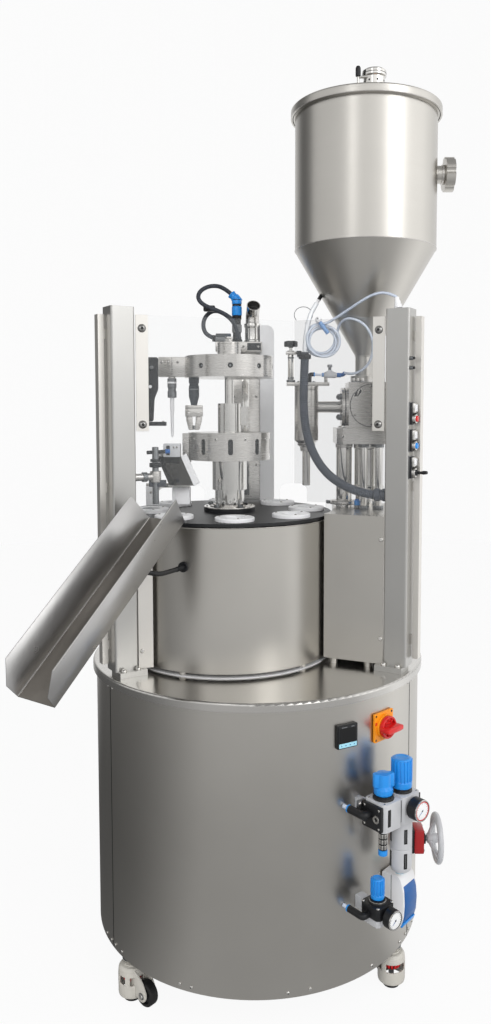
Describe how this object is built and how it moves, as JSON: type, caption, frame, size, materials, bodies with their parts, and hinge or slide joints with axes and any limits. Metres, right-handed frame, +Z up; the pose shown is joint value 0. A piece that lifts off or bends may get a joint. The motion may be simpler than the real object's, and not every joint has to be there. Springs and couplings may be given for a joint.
{
  "type": "tube filling machine",
  "caption": "Rotary tube filling machine: round cabinet on levelling casters, turntable with tube holders, tool head, dosing pump, nozzle, hopper, guard posts and chute.",
  "frame": {"origin": "on the floor at the axis of the round cabinet", "axes": "+Z up, -Y towards the operator, +X towards the hopper and dosing pump"},
  "size_m": [0.8872, 0.9711, 2.045],
  "materials": {
    "brushed_stainless": "brushed",
    "polished_stainless": "polished",
    "satin_stainless": "satin",
    "white_plastic": "satin",
    "black_plastic": "satin",
    "blue_plastic": "gloss",
    "red_plastic": "gloss",
    "red_paint": "gloss",
    "clear_pane": "polished",
    "orange_plastic": "satin",
    "black_cable": "matte",
    "clear_tube": "gloss",
    "anodised_aluminium": "satin",
    "cream_housing": "satin",
    "tyre_black": "matte",
    "steel_frame": "satin"
  },
  "bodies": {
    "root": {"base_skirt_front": "brushed_stainless", "base_skirt_rear": "brushed_stainless", "deck_plate": "satin_stainless", "base_frame": "steel_frame", "indexer_drive": "steel_frame", "turret_shell": "brushed_stainless", "guide_column": "polished_stainless", "post_left": "brushed_stainless", "post_right": "brushed_stainless", "dome_bolts": "polished_stainless", "guard_strips": "brushed_stainless", "guard_pane_left": "clear_pane", "guard_pane_right": "clear_pane", "dosing_box": "brushed_stainless", "discharge_chute": "brushed_stainless", "chute_arm": "black_plastic", "lift_actuator": "satin_stainless", "back_cover": "white_plastic", "tube_slide": "satin_stainless", "dosing_pump": "polished_stainless", "dosing_plate": "satin_stainless", "valve_block": "satin_stainless", "filling_head": "satin_stainless", "hopper_shell": "brushed_stainless", "controller": "black_plastic", "switch_plate": "orange_plastic", "air_unit_main": "anodised_aluminium", "air_unit_small": "black_plastic", "pressure_switch": "white_plastic", "shutoff_valve": "red_paint", "control_units": "black_plastic", "head_cable_a": "black_cable", "head_cable_b": "black_cable", "conduit_hose": "black_cable", "air_tube": "clear_tube", "tube_coil": "clear_tube"},
    "turret": {"turntable": "black_plastic", "tube_holders": "white_plastic"},
    "head": {"head_sleeve": "polished_stainless", "lower_tool_ring": "polished_stainless", "upper_tool_ring": "polished_stainless", "press_tool": "satin_stainless"},
    "jaw_l": {"jaw_left": "satin_stainless"},
    "jaw_r": {"jaw_right": "satin_stainless"},
    "filling_nozzle": {"nozzle": "polished_stainless"},
    "lid": {"hopper_lid": "brushed_stainless"},
    "switch_handle": {"switch_knob": "red_plastic"},
    "knob_winged": {"air_knob_winged": "blue_plastic"},
    "knob_main": {"air_knob_main": "blue_plastic"},
    "knob_small": {"air_knob_small": "blue_plastic"},
    "valve_wheel": {"handwheel": "satin_stainless"},
    "feet": {"levelling_feet": "red_plastic"},
    "fork_1": {"caster_fork_1": "cream_housing"},
    "wheel_1": {"caster_wheel_1": "tyre_black"},
    "fork_2": {"caster_fork_2": "cream_housing"},
    "wheel_2": {"caster_wheel_2": "tyre_black"},
    "fork_3": {"caster_fork_3": "cream_housing"},
    "wheel_3": {"caster_wheel_3": "tyre_black"},
    "fork_4": {"caster_fork_4": "cream_housing"},
    "wheel_4": {"caster_wheel_4": "tyre_black"}
  },
  "joints": [
    {"name": "turntable_spin", "type": "hinge", "parent": "root", "child": "turret", "pos_m": [-0.066, 0, 1.024], "axis": [0, 0, 1], "continuous": true},
    {"name": "head_lift", "type": "slide", "parent": "root", "child": "head", "axis": [0, 0, 1], "range_m": [-0.035, 0.025]},
    {"name": "jaw_swing", "type": "hinge", "parent": "head", "child": "jaw_l", "pos_m": [-0.159, 0, 1.256], "axis": [0, 1, 0], "range_deg": [0, 8]},
    {"name": "jaw_swing_other", "type": "hinge", "parent": "head", "child": "jaw_r", "pos_m": [-0.137, 0, 1.256], "axis": [0, 1, 0], "range_deg": [-8, 0]},
    {"name": "nozzle_slide", "type": "slide", "parent": "root", "child": "filling_nozzle", "axis": [0, 0, 1], "range_m": [-0.032, 0]},
    {"name": "lid_lift", "type": "slide", "parent": "root", "child": "lid", "axis": [0, 0, 1], "range_m": [0, 0.25]},
    {"name": "main_switch", "type": "hinge", "parent": "root", "child": "switch_handle", "pos_m": [0.26397, -0.27335, 0.615], "axis": [0.6947, -0.7193, 0], "range_deg": [0, 90]},
    {"name": "winged_knob_spin", "type": "hinge", "parent": "root", "child": "knob_winged", "pos_m": [0.25431, -0.34663, 0.505], "axis": [0, 0, 1], "continuous": true},
    {"name": "main_knob_spin", "type": "hinge", "parent": "root", "child": "knob_main", "pos_m": [0.29567, -0.31192, 0.505], "axis": [0, 0, 1], "continuous": true},
    {"name": "small_knob_spin", "type": "hinge", "parent": "root", "child": "knob_small", "pos_m": [0.24407, -0.35, 0.293], "axis": [0, 0, 1], "continuous": true},
    {"name": "handwheel_spin", "type": "hinge", "parent": "root", "child": "valve_wheel", "pos_m": [0.38798, -0.21509, 0.345], "axis": [1, 0, 0], "continuous": true},
    {"name": "feet_adjust", "type": "slide", "parent": "root", "child": "feet", "axis": [0, 0, 1], "range_m": [0, 0.006]},
    {"name": "caster_swivel_1", "type": "hinge", "parent": "root", "child": "fork_1", "pos_m": [-0.26766, -0.22861, 0.06], "axis": [0, 0, 1], "continuous": true},
    {"name": "caster_roll_1", "type": "hinge", "parent": "fork_1", "child": "wheel_1", "pos_m": [-0.23242, -0.25817, 0.028], "axis": [0.6428, 0.766, 0], "continuous": true},
    {"name": "caster_swivel_2", "type": "hinge", "parent": "root", "child": "fork_2", "pos_m": [0.29687, -0.18913, 0.06], "axis": [0, 0, 1], "continuous": true},
    {"name": "caster_roll_2", "type": "hinge", "parent": "fork_2", "child": "wheel_2", "pos_m": [0.28114, -0.1459, 0.028], "axis": [-0.9397, -0.342, 0], "continuous": true},
    {"name": "caster_swivel_3", "type": "hinge", "parent": "root", "child": "fork_3", "pos_m": [0.26766, 0.22861, 0.06], "axis": [0, 0, 1], "continuous": true},
    {"name": "caster_roll_3", "type": "hinge", "parent": "fork_3", "child": "wheel_3", "pos_m": [0.31349, 0.23261, 0.028], "axis": [-0.0872, 0.9962, 0], "continuous": true},
    {"name": "caster_swivel_4", "type": "hinge", "parent": "root", "child": "fork_4", "pos_m": [-0.29687, 0.18913, 0.06], "axis": [0, 0, 1], "continuous": true},
    {"name": "caster_roll_4", "type": "hinge", "parent": "fork_4", "child": "wheel_4", "pos_m": [-0.3427, 0.19314, 0.028], "axis": [-0.0872, -0.9962, 0], "continuous": true}
  ],
  "couplings": [
    {"joint": "jaw_swing_other", "follows": "jaw_swing", "ratio": -1}
  ]
}
